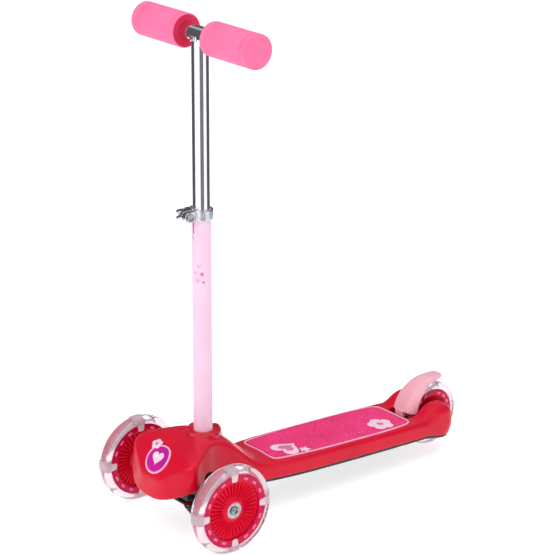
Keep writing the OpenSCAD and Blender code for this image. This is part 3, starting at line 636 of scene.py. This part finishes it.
pink_coat = speckled("pink_coat", tint(250, 212, 234), tint(248, 204, 228), tint(246, 194, 220),
                     700, 0.3, 0.3)
tube_low, tube_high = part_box("lower_tube")
tube_r, foot_z, top_z = (tube_high - tube_low).x / 2 / MM, tube_low.z / MM, tube_high.z / MM
hole_z, hole_r, turns = top_z - 35, 3.5, 96
plain, plain_faces = lathed([(tube_r - 1, hole_z - hole_r), (tube_r - 1, foot_z), (tube_r, foot_z),
                             (tube_r, hole_z - hole_r)], turns)
heights = np.concatenate([hole_z + hole_r * np.sin(np.linspace(-np.pi / 2, 1.28, 13)),
                          np.linspace(hole_z + 4.5, top_z - 0.3, 8), [top_z]])
hole_half = np.sqrt(np.maximum(hole_r ** 2 - (heights - hole_z) ** 2, 0))
open_half = np.where(heights < hole_z + 3.34, hole_half, 1.0)
slotted = []
for z, gap in zip(heights, np.maximum(open_half, 0.01)):
    for r in (tube_r - (0.25 if z == top_z else 0), tube_r - 1):
        t = np.linspace(np.arcsin(gap / r), 2 * np.pi - np.arcsin(gap / r), turns + 1) - np.pi / 2
        slotted.append(np.stack([r * np.cos(t), r * np.sin(t), z + 0 * t], 1))
n, rows = turns + 1, len(heights)
slot_faces = []
for k in range(rows - 1):
    a, b = 2 * k * n, (2 * k + 1) * n
    c, d = a + 2 * n, b + 2 * n
    for i in range(turns):
        slot_faces += [(a + i, a + i + 1, c + i + 1, c + i), (b + i + 1, b + i, d + i, d + i + 1)]
    slot_faces += [(b, a, c, d), (a + turns, b + turns, d + turns, c + turns)]
last = 2 * (rows - 1) * n
slot_faces += [(last + i, last + i + 1, last + n + i + 1, last + n + i) for i in range(turns)]
tube_points = np.concatenate([plain] + slotted) + (0, column_y, 0)
tube_faces = plain_faces.tolist() + (np.array(slot_faces) + len(plain)).tolist()
lower = piece("tube", placed(tube_points), tube_faces, pink_coat, "frame", "lower_tube", slot="tube_pink")
lower.data.set_sharp_from_angle(angle=math.radians(40))
bush_white = finish_with("bush_white", tint(236, 236, 238), tint(222, 222, 226), 0.45, patch=100)
repaint(bush_white, "tube_bush")
# A grey strip laid inside the slot, where the split bush leaves a gap, is painted shade that darkens the gap.
gap_shade_grey = finish_with("bush_gap_shade", tint(96, 78, 90), tint(80, 64, 76), 0.6, patch=100)
gap_x = np.linspace(-0.95, 0.95, 5)
gap_y = -np.sqrt((tube_r - 0.9) ** 2 - gap_x ** 2) + column_y
gap_rows = [np.stack([gap_x, gap_y, np.full(5, z)], 1) for z in np.linspace(hole_z + 4.2, top_z - 1, 6)]
gap_faces = [(5 * k + i, 5 * k + i + 1, 5 * k + i + 6, 5 * k + i + 5) for k in range(5) for i in range(4)]
piece("bush_gap_shade", placed(np.concatenate(gap_rows)), gap_faces, gap_shade_grey, "frame", slot="bush_white")


def on_tube(points, lift):
    """Points (around, up) wrapped on the front left of the tube."""
    points, r = np.asarray(points, float), tube_r + lift
    t = points[:, 0] / tube_r - np.pi / 2
    return np.stack([r * np.cos(t), column_y + r * np.sin(t), points[:, 1]], 1)


tube_prints = ((heart(7, 0), 8, 358), (star(6.5), 12, 348), (flower(7), 6, 339),
               (star(4.5), 14, 337), (heart(5, 20), 3, 349))
for k, (shape, around, up) in enumerate(tube_prints):
    emblem(f"tube_print_{k}", shape, at(around, up, on_tube), 0.06, rose_print if k % 2 else border,
           "tube_pink", rings=3)

# ---- Clamp ----
# A cast aluminium ring split at the front, with two ears drawn together by a bolt through a round nut.
# The lever on its other end turns on a steel barrel and pulls the bolt with its cam; black marks on it are
# painted shade for its end pockets and top recesses.
alloy = finish_with("alloy", tint(222, 222, 226), tint(196, 197, 202), 0.24, patch=120, grain=2600, bump=0.1,
                    uneven=0.08, metal=1.0)
clamp_low, clamp_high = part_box("clamp_ring")
clamp_z, clamp_half = (clamp_low + clamp_high).z / 2 / MM, (clamp_high - clamp_low).z / 2 / MM
bolt_y, ring_r = middle("clamp_nut").y - axle_y, clamp_high.x / MM
cam_x = middle("cam_barrel").x


def clamp_field(p):
    x, y, z = np.abs(p[:, 0]), p[:, 1] - column_y, np.abs(p[:, 2] - clamp_z)
    far = np.hypot(x, y)
    boss = np.maximum(np.hypot(y + column_y - bolt_y, z) - clamp_half, x - 6.5)
    ear = np.maximum(np.maximum(x - 6.5, -(y + column_y - bolt_y)), np.maximum(y + 8, z - clamp_half))
    body = soft_min(np.maximum(far - ring_r, z - clamp_half), np.minimum(boss, ear), 2)
    body = soft_max(body, z - clamp_half, 0.8)
    body = np.maximum(body, tube_r + 0.04 - far)
    body = soft_max(body, np.minimum(1.5 - x, -y), 0.5)
    return np.maximum(body, 2.6 - np.hypot(y + column_y - bolt_y, z))


clamp_points, clamp_faces = skin(clamp_field, (-17, 2, 418), (17, 51, 435), 0.55, rounds=4)
piece("clamp", placed(clamp_points), clamp_faces, alloy, "frame", "clamp_ring", slot="aluminium")
nut_outline = [(2.6, -2), (4.9, -2)] + arc(4.9, -1.3, 0.7, -90, 0, 3)
nut_outline += arc(4.9, 1.3, 0.7, 0, 90, 3) + [(2.6, 2)]
nut_points, nut_faces = lathed(nut_outline, 48, "x", wave=lambda t, r, h: (
    np.where(r > 5.2, -0.25 * (np.cos(t * 16) > 0.2), 0), 0), closed=True)
nut_spot = middle("clamp_nut") - Vector((0, axle_y, 0))
piece("nut", placed(nut_points + np.array(nut_spot)), nut_faces, zinc, "frame", "clamp_nut", slot="steel")


def lever_field(p):
    x, y, z = p[:, 0] - cam_x, p[:, 1] - bolt_y, np.abs(p[:, 2] - clamp_z)
    hub = np.hypot(x, y) - 5.8
    arm = np.maximum(np.maximum(-6 - x, x + 3.2), np.maximum(-y, y - 24))
    thumb = np.maximum(np.maximum(-8.6 - x, x + 3.2), np.maximum(20.5 - y, y - 24))
    body = soft_min(np.minimum(hub, arm), thumb, 2)
    body = soft_max(body, z - 5.7, 1.2)
    body = soft_max(body, y - 24, 1.2)
    body = np.maximum(body, 3.08 - np.hypot(x, y))
    fork = np.maximum(z - 3, y - 5.7)
    return np.maximum(body, -fork)


lever_points, lever_faces = skin(lever_field, (cam_x - 10, bolt_y - 7.5, clamp_z - 7.5),
                                 (cam_x + 7.5, bolt_y + 26, clamp_z + 7.5), 0.5, rounds=4)
piece("lever", placed(lever_points), lever_faces, alloy, "cam_lever", "clamp_lever", slot="aluminium")
# Black marks on the lever are painted shade for its end pockets and top recesses; the same black finish is
# the real colour of the cross-bar's end plugs.
black_pad = finish_with("black_pad", tint(24, 24, 26), tint(12, 12, 14), 0.4, patch=200)
for k, (x, y, z, size) in enumerate(((-3.1, -3.1, 4.5, (1.2, 1.2, 1.5)), (-3.1, -3.1, -4.5, (1.2, 1.2, 1.5)),
                                     (-4.6, 13, 5.5, (1.1, 5, 0.5)), (-4.6, 13, -5.5, (1.1, 5, 0.5)))):
    ball, ball_faces = lathed(arc(0, 0, 1, -89, 89, 13), 24)
    block = np.sign(ball) * np.abs(ball) ** 0.6 * size
    piece(f"lever_recess_shade_{k}", placed(block + (cam_x + x, bolt_y + y, clamp_z + z)), ball_faces, black_pad,
          "cam_lever", slot="black_plug")

# ---- Handlebar tubes ----
# Chrome-plated steel: a straight tube that slides in the lower one, and a cross-bar welded on its top.
# The weld is a rippled bead round the saddle where the two tubes meet.
chrome = finish_with("chrome", tint(238, 238, 240), tint(230, 230, 234), 0.055, patch=60, grain=900,
                     bump=0.01, uneven=0.02, metal=1.0)
bar_low, bar_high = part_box("crossbar")
bar_z, bar_r, bar_half = (bar_low + bar_high).z / 2 / MM, (bar_high - bar_low).z / 2 / MM, bar_high.x / MM
upper_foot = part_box("upper_tube")[0].z / MM


def saddle_field(p):
    x, y, z = p[:, 0], p[:, 1] - column_y, p[:, 2] - bar_z
    post, bar = np.hypot(x, y) - bar_r, np.hypot(y, z) - bar_r
    post = np.maximum(post, z)
    joint = soft_min(post, bar, 1.5)
    bead = np.hypot(post, bar) - 1.7 - 0.3 * np.sin(26 * np.arctan2(y, x))
    return soft_min(joint, np.maximum(bead, z), 0.6)


saddle_points, saddle_faces = skin(saddle_field, (-27, column_y - 13, bar_z - 34),
                                   (27, column_y + 13, bar_z + 13), 0.7, rounds=5)
post_points, post_faces = lathed([(bar_r - 1, bar_z - 33), (bar_r - 1, upper_foot), (bar_r, upper_foot),
                                  (bar_r, bar_z - 33)], 96)
arms = []
for side in (-1, 1):
    ends = [(bar_r, side * 26.3), (bar_r, side * bar_half),
            (bar_r - 1, side * bar_half), (bar_r - 1, side * 26.3)]
    arms.append(lathed(ends if side > 0 else ends[::-1], 96, "x"))
tee_points = [saddle_points, post_points + (0, column_y, 0)] + [a[0] + (0, column_y, bar_z) for a in arms]
tee_faces, start = [], 0
for some, faces in zip(tee_points, (saddle_faces, post_faces, arms[0][1], arms[1][1])):
    tee_faces.append(np.asarray(faces) + start)
    start += len(some)
bar = piece("handlebar_tubes", placed(np.concatenate(tee_points)), np.concatenate(tee_faces), chrome,
            "handlebar", "upper_tube", "crossbar", slot="chrome")
bar.data.set_sharp_from_angle(angle=math.radians(50))
repaint(black_pad, "bar_plugs")

# ---- Grips ----
# Two soft foam rubber grips pushed over the ends of the cross-bar, each closed at its outer end.
# A fine groove runs round them near both ends.
foam = finish_with("pink_foam", tint(255, 118, 166), tint(254, 112, 161), 0.62, patch=55, grain=2400,
                   bump=0.35)
# The deeper crimson foam on the grips' inner end faces, round the bar, is painted shade.
shaded_mouth_foam_finish = finish_with("foam_face", tint(236, 22, 84), tint(222, 12, 70), 0.6, patch=90, grain=2400,
                        bump=0.3)
for side, body_name in ((1, "left"), (-1, "right")):
    grip_low, grip_high = (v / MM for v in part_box(f"grip_{body_name}"))
    near, far = sorted((abs(grip_low.x), abs(grip_high.x)))
    grip_r = (grip_high.z - grip_low.z) / 2
    outline = [(bar_r + 0.1, near + 1.4), (14.5, near + 0.9), (grip_r - 1.6, near)]
    outline += arc(grip_r - 1.4, near + 1.4, 1.4, -80, 0)
    for spot in (near + 9.5, far - 9.5):
        outline += [(grip_r, spot - 0.75), (grip_r - 0.3, spot - 0.45), (grip_r - 0.75, spot - 0.25),
                    (grip_r - 0.75, spot + 0.25), (grip_r - 0.3, spot + 0.45), (grip_r, spot + 0.75)]
    outline += arc(grip_r - 1.4, far - 1.4, 1.4, 0, 84)
    outline += [(grip_r - 2.4, far - 0.35), (grip_r - 3.5, far - 0.45), (8, far - 0.45), (0.3, far - 0.45)]
    grip_points, grip_faces = lathed(outline, 128, "x")
    grip_points[:, 0] *= side
    grip = piece(f"grip_foam_{body_name}", placed(grip_points + (0, column_y, bar_z)),
                 grip_faces if side > 0 else grip_faces[:, ::-1], foam, "handlebar", f"grip_{body_name}",
                 slot="grip_pink")
    # A thin ring on each grip's inner end face carries that painted shade.
    face_points, face_faces = lathed([(bar_r + 0.15, near + 1.35), (14.5, near + 0.8),
                                      (grip_r - 1.7, near - 0.05)], 128, "x")
    face_points[:, 0] *= side
    piece(f"grip_mouth_shade_{body_name}", placed(face_points + (0, column_y, bar_z)),
          face_faces if side > 0 else face_faces[:, ::-1], shaded_mouth_foam_finish, "handlebar", slot="grip_pink")

# ---- Wheels ----
# A red moulded core with a finned disc, a glossy crimson band and a clear cast urethane tyre round it.
# Pink windows sit in the band; the front wheels have four clear lamps as well, and ball bearings inside.
disc_red = finish_with("disc_red", tint(240, 0, 56), tint(228, 0, 48), 0.3, patch=60, grain=1500, bump=0.03)
band_red = finish_with("band_red", tint(214, 4, 76), tint(200, 2, 64), 0.16, patch=80, grain=1500, bump=0.02,
                       uneven=0.03)
for gloss_red in (disc_red, band_red):
    gloss_red.node_tree.nodes["Principled BSDF"].inputs["Specular IOR Level"].default_value = 0.2
window_pink = finish_with("window_pink", tint(255, 120, 158), tint(250, 96, 140), 0.3, patch=300)


def see_through(name, colour, deep, rough, share, bend):
    """A clear moulding: part of the light goes through, bent."""
    made = finish_with(name, colour, deep, rough, patch=45, grain=900, bump=0.02, uneven=0.03)
    shader = made.node_tree.nodes["Principled BSDF"]
    shader.inputs["Transmission Weight"].default_value = share
    shader.inputs["IOR"].default_value = bend
    return made


clear = see_through("clear_tyre", tint(255, 240, 246), tint(252, 230, 238), 0.10, 0.86, 1.3)
lamp_clear = see_through("clear_lamp", tint(255, 240, 246), tint(252, 228, 238), 0.14, 0.22, 1.4)


def slab(outline, half, inner=0.45):
    """A flat figure (across, up) given thickness along X, with softened edges; half is its reach there."""
    half = np.broadcast_to(half, len(outline))
    rows = []
    for line, x in ((inset(outline, inner), -half), (outline, -half + inner), (outline, half - inner),
                    (inset(outline, inner), half)):
        rows.append(np.stack([x, line[:, 0], line[:, 1]], 1))
    count = len(outline)
    faces = bands(rows).tolist() + [list(range(count))[::-1], list(range(3 * count, 4 * count))]
    return np.concatenate(rows), faces


def spun(points, degrees):
    a = math.radians(degrees)
    return points @ np.array(((1, 0, 0), (0, math.cos(a), math.sin(a)), (0, -math.sin(a), math.cos(a))))


def fins(t, r, h):
    reach = np.clip((r - 15.5) / 1.5, 0, 1) * np.clip((disc_r - 1.2 - r) / 1.5, 0, 1)
    return 0, np.sign(h) * reach * (abs(h) < 7) * (2.2 * np.sin(36 * t) - 0.3)


for tail, body_name, centre, wheel_r in (("front_left", "wheel_left", (wheel_x, 0, front_r), front_r),
                                         ("front_right", "wheel_right", (-wheel_x, 0, front_r), front_r),
                                         ("rear", "wheel_rear", (0, rear_y, rear_r), rear_r)):
    rim_r = wheel_r - 9.5
    disc_r = rim_r - 10.5
    shares = np.linspace(15.5, disc_r - 1, 9)
    outline = [(11, -8), (13.4, -8), (14, -7.4), (14.6, -5.6)] + [(r, -5.4) for r in shares]
    outline += [(disc_r + 0.4, -6.2), (disc_r + 0.4, 6.2)] + [(r, 5.4) for r in shares[::-1]]
    outline += [(14.6, 5.6), (14, 7.4), (13.4, 8), (11, 8)]
    points, faces = lathed(outline, 288, "x", wave=fins, closed=True)
    piece(f"disc_{tail}", placed(points + centre), faces, disc_red, body_name, f"core_{tail}",
          slot="core_red")

    outline = [(disc_r, -5), (disc_r, -8.6), (disc_r + 0.5, -9.3), (disc_r + 1.4, -9.5)]
    outline += arc(rim_r - 1.6, -8.1, 1.4, -90, 0, 4) + arc(rim_r - 1.6, 8.1, 1.4, 0, 90, 4)
    outline += [(disc_r + 1.4, 9.5), (disc_r + 0.5, 9.3), (disc_r, 8.6), (disc_r, 5)]
    points, faces = lathed(outline, 144, "x", closed=True)
    piece(f"band_{tail}", placed(points + centre), faces, band_red, body_name, slot="core_red")

    outline = [(rim_r, -10.4), (rim_r + 0.4, -10.9)] + arc(wheel_r - 8.5, -2.5, 8.5, -90, 0, 10)
    outline += arc(wheel_r - 8.5, 2.5, 8.5, 0, 90, 10) + [(rim_r + 0.4, 10.9), (rim_r, 10.4)]
    points, faces = lathed(outline, 160, "x", closed=True)
    piece(f"tyre_clear_{tail}", placed(points + centre), faces, clear, body_name, f"tyre_{tail}",
          slot="tyre_clear")

    bar_line = rounded([(-3.5, -1.7), (-1.2, -1.75), (1.2, -1.75), (3.5, -1.7), (3.5, 0), (3.5, 1.7),
                        (1.2, 1.75), (-1.2, 1.75), (-3.5, 1.7), (-3.5, 0)][::-1], 2)[::-1]
    bar_line = bar_line + (0, disc_r + 4.5)
    parts, all_faces, count = [], [], 0
    for quarter in (0, 90, 180, 270):
        for turn in (24, 45, 66):
            for side in (-1, 1):
                some, faces = slab(bar_line, 1.1, 0.35)
                parts.append(spun(some + (side * 8.65, 0, 0), quarter + turn))
                all_faces += [tuple(v + count for v in f) for f in faces]
                count += len(some)
    piece(f"panes_{tail}", placed(np.concatenate(parts) + centre), all_faces, window_pink, body_name,
          f"windows_{tail}", slot="window_pink")

    if tail != "rear":
        tab = rounded([(-4.6, disc_r + 0.3), (0, disc_r + 0.2), (4.6, disc_r + 0.3), (5.2, rim_r - 3),
                       (6.4, rim_r + 0.5), (6.3, rim_r + 5), (5.6, wheel_r - 2.2), (0, wheel_r - 1.9),
                       (-5.6, wheel_r - 2.2), (-6.3, rim_r + 5), (-6.4, rim_r + 0.5), (-5.2, rim_r - 3)], 2)
        room = np.sqrt(np.maximum(8.5 ** 2 - np.maximum(tab[:, 1] - wheel_r + 8.5, 0) ** 2, 1)) + 2.1
        some, faces = slab(tab, np.minimum(9.8, room), 0.5)
        parts = [spun(some, turn) for turn in (0, 90, 180, 270)]
        all_faces = [tuple(v + k * len(some) for v in f) for k in range(4) for f in faces]
        piece(f"lamp_tabs_{tail}", placed(np.concatenate(parts) + centre), all_faces, lamp_clear, body_name,
              f"lamps_{tail}", slot="lamp_clear")
    repaint(zinc, f"bearings_{tail}", f"spacer_{tail}")

# ---- Axle bolts ----
# Button-headed steel bolts with a hexagon socket hold the front wheels on the knuckles' arms.
# The shank runs through both bearings into the knuckle.
def socket(t, r, h):
    flat = 2.55 / np.cos((t % (np.pi / 3)) - np.pi / 6)
    return (flat - r if 2 < r < 3 else 0), 0


for side, tail in ((1, "left"), (-1, "right")):
    bolt_low, bolt_high = (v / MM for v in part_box(f"axle_bolt_{tail}"))
    inner, outer = sorted((abs(bolt_low.x), abs(bolt_high.x)))
    outline = [(0.2, inner), (3.4, inner), (4, inner + 0.6), (4, outer - 3.6), (5.9, outer - 3.6),
               (6.2, outer - 3.3), (6.2, outer - 2.4), (5.9, outer - 1.6), (5.2, outer - 0.8),
               (4.4, outer - 0.3), (3.6, outer), (3.1, outer), (2.6, outer - 0.15),
               (2.5, outer - 2.2), (0.3, outer - 2.4)]
    points, faces = lathed(outline, 72, "x", wave=socket)
    points[:, 0] *= side
    bolt = piece(f"bolt_{tail}", placed(points + (0, 0, front_r)), faces if side > 0 else faces[:, ::-1],
                 zinc, f"steering_{tail}", f"axle_bolt_{tail}", slot="steel")
    bolt.data.set_sharp_from_angle(angle=math.radians(35))

# ---- Brake fender ----
# One pale pink nylon moulding over the rear wheel, pressed down on the tyre by the rider's heel.
# It turns on a pin in front of the wheel, through a boss under its foot, and a spring lifts it again.
pin_y, pin_z = middle("fender_pin").y - axle_y, middle("fender_pin").z
# angle up from straight ahead of the rear axle: crown's and edges' distance from it, and half width
FENDER = np.array([(10, 57, 40, 20), (25, 57, 39.8, 20), (41, 57, 42.5, 19.6), (62, 57, 46.5, 18),
                   (77, 57, 50.2, 16.6), (91, 57.2, 52, 15.2), (100, 58, 54, 14.5), (106, 59.4, 56, 14),
                   (112, 61, 58, 13.6)], float)


def fender_field(p):
    x, y, z = np.abs(p[:, 0]), rear_y - p[:, 1], p[:, 2] - rear_r
    turn, reach = np.degrees(np.arctan2(z, y)), np.hypot(y, z)
    crown, edge, wide = (np.interp(turn, FENDER[:, 0], FENDER[:, k]) for k in (1, 2, 3))
    high = crown - edge + 6
    up = reach - edge + 6
    full = np.maximum(((x / wide) ** 3.4 + np.abs(up / high) ** 3.4) ** (1 / 3.4), 1e-3)
    d = (1 - 1 / full) * np.hypot(x, up)
    shell = soft_max(d, -(d + 3.2), 1)
    shell = soft_max(shell, edge - reach, 1.2)
    tip = 109.5 - 7 * (x / 14) ** 2.4
    shell = soft_max(shell, np.maximum((16 - turn), (turn - tip)) * reach * math.pi / 180, 1.2)
    rise = p[:, 2] - pin_z
    boss = np.maximum(np.hypot(p[:, 1] - pin_y, rise) - 5, x - 8.5)
    web = np.maximum(np.maximum(np.abs(p[:, 1] - pin_y + 0.5) - 3.4, x - 7.5), np.maximum(-rise, rise - 15))
    shell = soft_min(shell, soft_min(boss, web, 1.5), 2)
    return np.maximum(shell, 2.6 - np.hypot(p[:, 1] - pin_y, rise))


pale_nylon = finish_with("pale_nylon", tint(252, 186, 198), tint(246, 174, 190), 0.36, patch=30, grain=1800,
                         bump=0.05)
pale_shader = pale_nylon.node_tree.nodes["Principled BSDF"]
pale_shader.inputs["Subsurface Weight"].default_value = 0.25
pale_shader.inputs["Subsurface Radius"].default_value = (0.006, 0.003, 0.003)
fender_points, fender_faces = skin(fender_field, (-22, 374, 43), (22, 460, 111), 1.1, rounds=4)
piece("brake_fender", placed(fender_points), fender_faces, pale_nylon, "brake", "fender", slot="fender_pink")

low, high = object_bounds()
